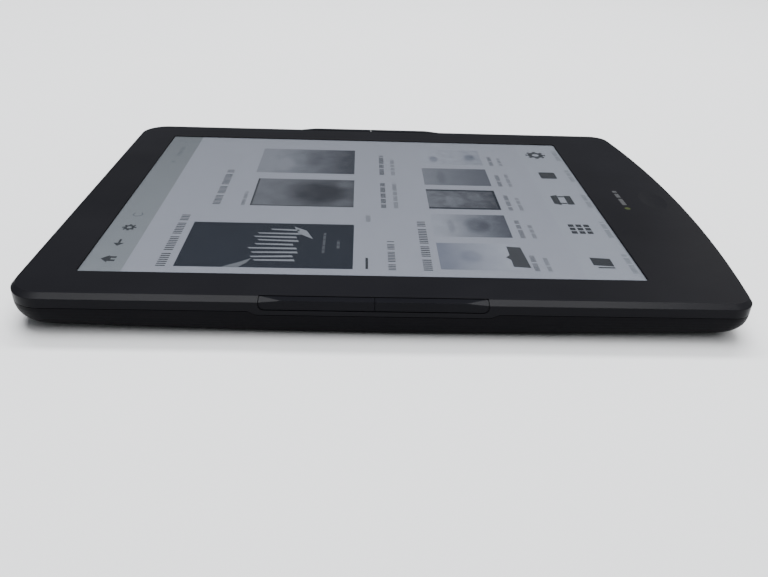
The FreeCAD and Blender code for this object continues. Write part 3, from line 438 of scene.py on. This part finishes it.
def inner_surfaces():
    """Materials by slot for what the housing hides."""
    return {
        "guide_plastic": see_through("guide_plastic", (0.975, 0.980, 0.985), 0.25, 0.30),
        "panel_glass": speckled("panel_backplane", (0.10, 0.12, 0.12), (0.14, 0.16, 0.16), 900.0, 0.15),
        "chip_black": chip("chip_epoxy", (0.020, 0.020, 0.022)),
        "silicon": chip("bare_die", (0.09, 0.09, 0.11), 0.2),
        "flex_amber": flat_cable(),
        "light_strip": speckled("strip_coating", (0.66, 0.66, 0.63), (0.78, 0.78, 0.75), 800.0, 0.45),
        "foam_black": soft_foam("foam_black", (0.030, 0.030, 0.032)),
        "tape_white": soft_foam("tape_white", (0.74, 0.74, 0.70)),
        "magnesium": brushed("stamped_sheet", (0.42, 0.43, 0.44), 0.5, (1, 6, 1)),
        "tin": brushed("tin_plate", (0.62, 0.62, 0.60), 0.35, (12, 1, 1)),
        "board_green": circuit_board(),
        "ceramic_parts": speckled("chip_ceramic", (0.36, 0.25, 0.15), (0.50, 0.40, 0.30), 1500.0, 0.4),
        "connector_cream": speckled("connector_body", (0.60, 0.54, 0.42), (0.72, 0.66, 0.54), 1200.0, 0.5),
        "cell_foil": pouch_foil(),
        "led_white": speckled("led_package", (0.78, 0.76, 0.58), (0.88, 0.87, 0.74), 2000.0, 0.4),
        "lead_red": speckled("lead_sleeve", (0.26, 0.02, 0.02), (0.38, 0.04, 0.03), 1500.0, 0.45),
    }


def dress_cad_nodes():
    """A material for every CAD node, chosen by the record's slot."""
    surfaces = outer_surfaces() | inner_surfaces()
    for part in frame["record"]["subparts"]:
        mesh = frame["nodes"][part["node"]].data
        mesh.materials.clear()
        mesh.materials.append(surfaces[part["material_slot"]])


# ---------------------------------------------------------------- what the page shows
# On the page, lengths are in mm, x runs to the reader's right and y to the top of the page.

WINDOW_LOW, WINDOW_HIGH = (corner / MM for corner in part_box("touch_film"))
LEFT, RIGHT = WINDOW_LOW.x, WINDOW_HIGH.x
LOW, HIGH = WINDOW_LOW.y, WINDOW_HIGH.y
PAGE_TOP = (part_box("page_layer")[1] / MM).z
FIRST_LAYER = 0.001          # the lowest ink lies this far above the paper
LAYER = 0.010                # spacing of the ink layers
INK_THICK = 0.007
BAND_MARGIN = 0.45           # the bands reach this far under the bezel

STATUS_Y = HIGH - 9.0        # lower edge of the status band
STATUS_ICONS_Y = STATUS_Y + 4.3
STATUS_ICON = 1.7            # half its size, as for every icon
DOCK_Y = LOW + 14.4          # upper edge of the band of icons
DOCK_ICONS_Y = LOW + 9.1
DOCK_LABELS_Y = LOW + 1.9
DOCK_LABEL_HALF = 4.6
DOCK_PLACES = (-37.2, -19.0, -0.4, 18.1, 35.8)
DOCK_SIZES = (2.6, 3.0, 3.2, 3.0, 3.2)

# Covers of books: left, right, lower and upper edge
FIRST_COVER = (-42.2, -19.1, 9.3, 48.5)
SECOND_COVER = (-8.3, 10.8, 9.6, 36.6)
THIRD_COVER = (15.6, 36.2, 9.7, 38.0)
SMALL_COUNT = 5
SMALL_MIDDLE = -34.9         # of the first small cover
SMALL_PITCH = 16.75
SMALL_WIDTH = 13.3
SMALL_LOW, SMALL_HIGH = -29.4, -10.3
SMALL_TITLE_Y, SMALL_AUTHOR_Y = -32.6, -35.4
BORDERED = 2                 # the small cover that has a dark border

# Lines of text: left and right end, lower edge, height, seed and, where it isn't 1, weight
HEADINGS = ((-42.2, -14.7, 50.3, 2.6, 11), (-8.0, 17.0, 44.3, 2.5, 12), (-42.2, -16.3, -8.5, 2.6, 13))
TITLES = ((-42.3, -27.6, -0.3, 2.1, 31), (-8.3, 9.0, 1.0, 1.7, 32, 1.3), (15.6, 32.0, 1.0, 1.7, 33, 1.3))
AUTHORS = ((-17.0, -13.2, 5.2, 1.5, 34), (-8.3, 9.5, -2.2, 1.5, 35), (15.6, 29.0, -2.2, 1.5, 36),
           (-8.2, 1.0, 38.0, 1.2, 37))
PROGRESS = (-42.0, -36.7, 5.9, 6.5)
CLOCK = (28.0, 36.0, STATUS_ICONS_Y - 0.8, 1.6, 5)

# Greeked text, as shares of the line's height
DASH_WIDTH, DASH_HEIGHT, DASH_PITCH, WORD_GAP = 0.17, 0.8, 0.36, 0.42
SHORTEST_WORD, LONGEST_WORD = 4, 9

RING_BLOCKS = 28
EAVES_GAP = 0.02             # between a house's roof and its walls
CORNER_STEPS = 5
COG_TEETH = 8
REEDS = 9


def rect(x0, x1, y0, y1):
    return [(x0, y0), (x1, y0), (x1, y1), (x0, y1)]


def block(x, y, half_x, half_y):
    return rect(x - half_x, x + half_x, y - half_y, y + half_y)


def round_rect(x0, x1, y0, y1, radius):
    points = []
    corners = ((x1 - radius, y1 - radius, 0), (x0 + radius, y1 - radius, 90),
               (x0 + radius, y0 + radius, 180), (x1 - radius, y0 + radius, 270))
    for x, y, start in corners:
        for step in range(CORNER_STEPS + 1):
            angle = math.radians(start + 90 * step / CORNER_STEPS)
            points.append((x + radius * math.cos(angle), y + radius * math.sin(angle)))
    return points


def ring_parts(x, y, outer, inner, start=0.0, sweep=360.0):
    """A ring or arc as short blocks, so that its middle stays open."""
    blocks = []
    for i in range(RING_BLOCKS):
        a, b = (math.radians(start + sweep * k / RING_BLOCKS) for k in (i, i + 1))
        blocks.append([(x + inner * math.cos(a), y + inner * math.sin(a)),
                       (x + outer * math.cos(a), y + outer * math.sin(a)),
                       (x + outer * math.cos(b), y + outer * math.sin(b)),
                       (x + inner * math.cos(b), y + inner * math.sin(b))])
    return blocks


def lay_ink(name, outlines, layer, material):
    """Thin closed slabs of ink of the given outlines on the page."""
    z0 = PAGE_TOP + FIRST_LAYER + layer * LAYER
    z1 = z0 + INK_THICK
    points, faces = [], []
    for outline in outlines:
        n = len(outline)
        start = len(points)
        points += [(x * MM, y * MM, z0 * MM) for x, y in outline]
        points += [(x * MM, y * MM, z1 * MM) for x, y in outline]
        faces.append(tuple(start + n + i for i in range(n)))
        faces.append(tuple(start + n - 1 - i for i in range(n)))
        for i in range(n):
            after = (i + 1) % n
            faces.append((start + i, start + after, start + n + after, start + n + i))
    mesh = bpy.data.meshes.new(name)
    mesh.from_pydata(points, [], faces)
    mesh.materials.append(material)
    piece = bpy.data.objects.new(name, mesh)
    link(piece)
    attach(piece, "housing")


def greeked(x0, x1, y, height, seed, weight=1.0):
    """A line of text stood in for by even dashes in word-sized groups, which spell nothing."""
    draw = random.Random(seed)
    dashes = []
    x = x0
    left_in_word = draw.randint(SHORTEST_WORD, LONGEST_WORD)
    while x < x1:
        width = height * DASH_WIDTH * weight
        dashes.append(rect(x, min(x + width, x1), y, y + height * DASH_HEIGHT))
        x += height * DASH_PITCH
        left_in_word -= 1
        if left_in_word == 0:
            x += height * WORD_GAP
            left_in_word = draw.randint(SHORTEST_WORD, LONGEST_WORD)
    return dashes


def text_rows(rows):
    return [dash for row in rows for dash in greeked(*row)]


# Icons: each takes its middle and half its size, and gives outlines whose numbers are shares of it

def home_icon(x, y, s):
    """A house: a roof over two walls with a doorway between them."""
    eaves = y - EAVES_GAP
    roof = [(x - s, y), (x + s, y), (x, y + s)]
    left_wall = rect(x - 0.68 * s, x - 0.22 * s, y - 0.95 * s, eaves)
    right_wall = rect(x + 0.22 * s, x + 0.68 * s, y - 0.95 * s, eaves)
    lintel = rect(x - 0.2 * s, x + 0.2 * s, y - 0.3 * s, eaves)
    return [roof, left_wall, right_wall, lintel]


def back_icon(x, y, s):
    """An arrow to the left."""
    head = [(x - s, y), (x - 0.1 * s, y - 0.75 * s), (x - 0.1 * s, y + 0.75 * s)]
    return [head, rect(x - 0.08 * s, x + s, y - 0.16 * s, y + 0.16 * s)]


def cog_icon(x, y, s):
    teeth = []
    for i in range(COG_TEETH):
        a = math.radians(360 / COG_TEETH * i)
        across = Vector((-math.sin(a), math.cos(a)))
        along = Vector((math.cos(a), math.sin(a)))
        base = Vector((x, y)) + along * 0.78 * s
        tip = Vector((x, y)) + along * s
        teeth.append([tuple(base - across * 0.2 * s), tuple(tip - across * 0.15 * s),
                      tuple(tip + across * 0.15 * s), tuple(base + across * 0.2 * s)])
    return ring_parts(x, y, 0.76 * s, 0.34 * s) + teeth


def book_icon(x, y, s):
    """A leaning book with its spine beside it."""
    lean = 0.18 * s
    cover = [(x - 0.6 * s, y - s), (x + 0.85 * s, y - s),
             (x + 0.85 * s + lean, y + 0.8 * s), (x - 0.6 * s + lean, y + 0.8 * s)]
    return [cover, rect(x - 0.95 * s, x - 0.74 * s, y - s, y + 0.5 * s)]


def grid_icon(x, y, s):
    step = 0.66 * s
    return [block(x + i * step, y + j * step, 0.25 * s, 0.24 * s) for i in (-1, 0, 1) for j in (-1, 0, 1)]


def stall_icon(x, y, s):
    """A market stall: an awning on two thin posts over a solid counter."""
    awning = [(x - 1.1 * s, y + 0.3 * s), (x + 1.1 * s, y + 0.3 * s),
              (x + 0.85 * s, y + 0.9 * s), (x - 0.85 * s, y + 0.9 * s)]
    counter = rect(x - 0.95 * s, x + 0.95 * s, y - 0.85 * s, y - 0.26 * s)
    posts = []
    for way in (-1, 1):
        middle = x + way * 0.72 * s
        posts.append(rect(middle - 0.12 * s, middle + 0.12 * s, y - 0.24 * s, y + 0.28 * s))
    return [awning, counter] + posts


def panel_icon(x, y, s):
    return [round_rect(x - 0.85 * s, x + 0.85 * s, y - 0.8 * s, y + 0.8 * s, 0.2 * s)]


def lay_bands(inks):
    """The status band over the page's head and the band behind the icons at its foot."""
    left, right = LEFT - BAND_MARGIN, RIGHT + BAND_MARGIN
    lay_ink("page_status_band", [rect(left, right, STATUS_Y, HIGH + BAND_MARGIN)], 0, inks["band"])
    lay_ink("page_dock_band", [rect(left, right, LOW - BAND_MARGIN, DOCK_Y)], 0, inks["dock"])


def lay_status(inks):
    """The status band's icons, and its faint marks: an arc, a dot and a clock."""
    y = STATUS_ICONS_Y
    icons = []
    for x, icon in ((-39.3, home_icon), (-31.3, back_icon), (-23.1, cog_icon)):
        icons += icon(x, y, STATUS_ICON)
    lay_ink("page_status_icons", icons, 1, inks["strong"])
    arc = ring_parts(-15.4, y, 1.3, 0.95, 40, 290)
    dot = rect(22.0, 22.8, y - 0.5, y + 0.5)
    lay_ink("page_status_marks", arc + [dot] + greeked(*CLOCK), 1, inks["faint"])


def lay_first_cover(inks):
    """A night-blue cover with a pale abstract row of reeds and a drifting leaf."""
    x0, x1, y0, y1 = FIRST_COVER
    lay_ink("page_cover_dark", [rect(*FIRST_COVER)], 1, inks["night"])
    draw = random.Random(3)
    reeds = []
    for i in range(REEDS):
        x = x0 + 3.2 + i * 1.95
        low = y0 + 13.4 + draw.uniform(-0.8, 0.8)
        tall = draw.uniform(7.0, 11.5)
        lean = draw.uniform(-0.5, 0.5)
        reeds.append([(x, low), (x + 0.9, low + 0.3),
                      (x + 0.75 + lean, low + tall), (x + 0.15 + lean, low + tall - 0.5)])
    leaf = [(x1 - 8.5, y0 + 9.6), (x1 - 4.0, y0 + 11.4), (x1 - 1.8, y0 + 14.6), (x1 - 5.6, y0 + 13.2)]
    hill = [(x0, y1 - 14.0), (x0 + 2.2, y1 - 15.6), (x0 + 4.4, y1 - 16.4),
            (x0 + 2.6, y1 - 14.2), (x0 + 1.0, y1 - 11.8), (x0, y1 - 10.4)]
    lines = ((x0 + 7.5, x1 - 5.0, y0 + 6.6, 0.8, 21), (x0 + 10.0, x1 - 9.0, y0 + 3.2, 0.9, 22))
    lay_ink("page_cover_reeds", reeds + [leaf], 2, inks["pale"])
    lay_ink("page_cover_hill", [hill], 2, inks["mist"])
    lay_ink("page_cover_lines", text_rows(lines), 2, inks["mist"])


def lay_large_covers(inks, pictures):
    """The other two large covers, the first of them with a dark frame on two sides."""
    for i, cover in enumerate((SECOND_COVER, THIRD_COVER)):
        lay_ink(f"page_cover_picture_{i + 1}", [rect(*cover)], 1, pictures[i])
    x0, x1, y0, y1 = SECOND_COVER
    line = 0.5
    frame_lines = [rect(x0, x1, y1 - line, y1), rect(x0, x0 + line, y0, y1 - line)]
    lay_ink("page_cover_frame", frame_lines, 2, inks["shade"])


def lay_small_covers(inks, pictures):
    """A row of small covers with a title and an author under each."""
    titles, authors = [], []
    for i in range(SMALL_COUNT):
        middle = SMALL_MIDDLE + SMALL_PITCH * i
        x0 = middle - SMALL_WIDTH / 2
        x1 = min(middle + SMALL_WIDTH / 2, RIGHT - 1.5)
        lay_ink(f"page_small_cover_{i + 1}", [rect(x0, x1, SMALL_LOW, SMALL_HIGH)], 1, pictures[i])
        titles += greeked(x0, x0 + 8.0 + (i * 3) % 4, SMALL_TITLE_Y, 1.5, 41 + i)
        authors += greeked(x0, x0 + 6.5 + (i * 5) % 4, SMALL_AUTHOR_Y, 1.3, 51 + i)
    lay_ink("page_small_pennant", [pennant()], 2, inks["shade"])
    lay_ink("page_small_border", small_border(), 2, inks["night"])
    lay_ink("page_small_titles", titles, 1, inks["text"])
    lay_ink("page_small_authors", authors, 1, inks["faint"])


def pennant():
    """A label with a small peak, over the first small cover's foot."""
    return [(-40.2, -30.8), (-30.0, -30.2), (-29.6, -26.9), (-34.0, -26.9),
            (-35.2, -25.9), (-36.4, -26.9), (-39.8, -26.9)]


def small_border():
    """The bordered cover's dark sides and foot."""
    side, foot = 0.9, 0.7
    left = SMALL_MIDDLE + BORDERED * SMALL_PITCH - SMALL_WIDTH / 2
    right = left + SMALL_WIDTH
    return [rect(left, left + side, SMALL_LOW, SMALL_HIGH),
            rect(right - side, right, SMALL_LOW, SMALL_HIGH),
            rect(left + side, right - side, SMALL_LOW, SMALL_LOW + foot)]


def lay_dock(inks):
    """The icons at the page's foot, with a label under each."""
    icons, labels = [], []
    kinds = (book_icon, grid_icon, stall_icon, panel_icon, cog_icon)
    for i, (x, icon, size) in enumerate(zip(DOCK_PLACES, kinds, DOCK_SIZES)):
        icons += icon(x, DOCK_ICONS_Y, size)
        labels += greeked(x - DOCK_LABEL_HALF, x + DOCK_LABEL_HALF, DOCK_LABELS_Y, 1.6, 61 + i)
    lay_ink("page_dock_icons", icons, 1, inks["strong"])
    lay_ink("page_dock_labels", labels, 1, inks["label"])


def page_inks():
    return {
        # The fifth number of band, dock and night is painted shade that darkens them toward the page's
        # right.
        "band": ink("ink_status", 0.158, (0.93, 0.985, 1.05), 0.06, 0.28),
        "dock": ink("ink_dock", 0.224, (0.94, 0.97, 1.08), 0.06, 0.12),
        "strong": ink("ink_strong", 0.024, (1.0, 1.05, 1.2)),
        "text": ink("ink_text", 0.032, (1.0, 1.05, 1.2)),
        "label": ink("ink_label", 0.100, (0.96, 1.01, 1.12)),
        "faint": ink("ink_faint", 0.085, (0.96, 1.01, 1.12)),
        "night": ink("ink_night", 0.0165, (0.88, 1.04, 1.45), 0.12, 0.40),
        "shade": ink("ink_shade", 0.034, (1.0, 1.04, 1.16), 0.12),
        "mist": ink("ink_mist", 0.105, (0.96, 1.0, 1.10), 0.10),
        "pale": ink("ink_pale", 0.165, (0.95, 0.98, 1.08), 0.08),
    }


def large_pictures():
    """The second and third large covers: a dark blot, and pale arches."""
    blot = [(1.2, 20.0, 9.0, 8.6, -0.55), (7.6, 12.0, 3.0, 3.0, 0.30), (-5.6, 12.2, 3.0, 3.0, 0.25)]
    arches = [(23.0, 30.0, 6.0, 3.0, 0.25), (23.0, 34.5, 6.0, 2.0, 0.20), (28.0, 22.0, 9.0, 3.0, -0.15)]
    return [picture("picture_blot", (0.020, 0.082), (-4.0, 34.0), blot, 0.5, 240.0),
            picture("picture_arches", (0.028, 0.128), (10.0, 34.0), arches, 0.35, 260.0)]


def small_pictures():
    """The five small covers, from the left."""
    one_spot = [(-35.0, -18.0, 3.5, 3.0, -0.25)]
    slope = [(-18.0, -21.5, 5.0, 3.4, -0.35), (-19.0, -15.0, 4.5, 1.0, -0.20)]
    glow = [(-2.4, -17.5, 4.2, 2.6, 0.35), (0.5, -23.5, 3.4, 2.4, 0.30)]
    haze = [(15.0, -15.6, 6.0, 1.5, -0.25)]
    two_spots = [(30.0, -14.6, 3.0, 1.6, -0.60), (32.0, -26.0, 3.4, 1.8, -0.55)]
    return [picture("small_pale", (0.110, 0.215), (-11.0, -26.0), one_spot, 0.3, 260.0),
            picture("small_slope", (0.045, 0.190), (-29.4, -12.0), slope, 0.3, 300.0),
            picture("small_dark", (0.028, 0.100), (-33.0, -4.0), glow, 0.9, 420.0),
            picture("small_grey", (0.045, 0.110), (-34.0, -8.0), haze, 0.3, 300.0),
            picture("small_light", (0.080, 0.190), (-60.0, -12.0), two_spots, 0.6, 380.0)]


def print_page():
    inks = page_inks()
    lay_bands(inks)
    lay_status(inks)
    lay_ink("page_headings", text_rows(HEADINGS), 1, inks["text"])
    lay_first_cover(inks)
    lay_large_covers(inks, large_pictures())
    lay_ink("page_progress", [rect(*PROGRESS)], 1, inks["strong"])
    lay_ink("page_titles", text_rows(TITLES), 1, inks["text"])
    lay_ink("page_authors", text_rows(AUTHORS), 1, inks["faint"])
    lay_small_covers(inks, small_pictures())
    lay_dock(inks)


# ---------------------------------------------------------------- the whole scene

add_camera()
add_floor()
for softbox in SOFTBOXES:
    add_softbox(*softbox)
add_sky()
dress_cad_nodes()
print_page()

bpy.context.view_layer.update()
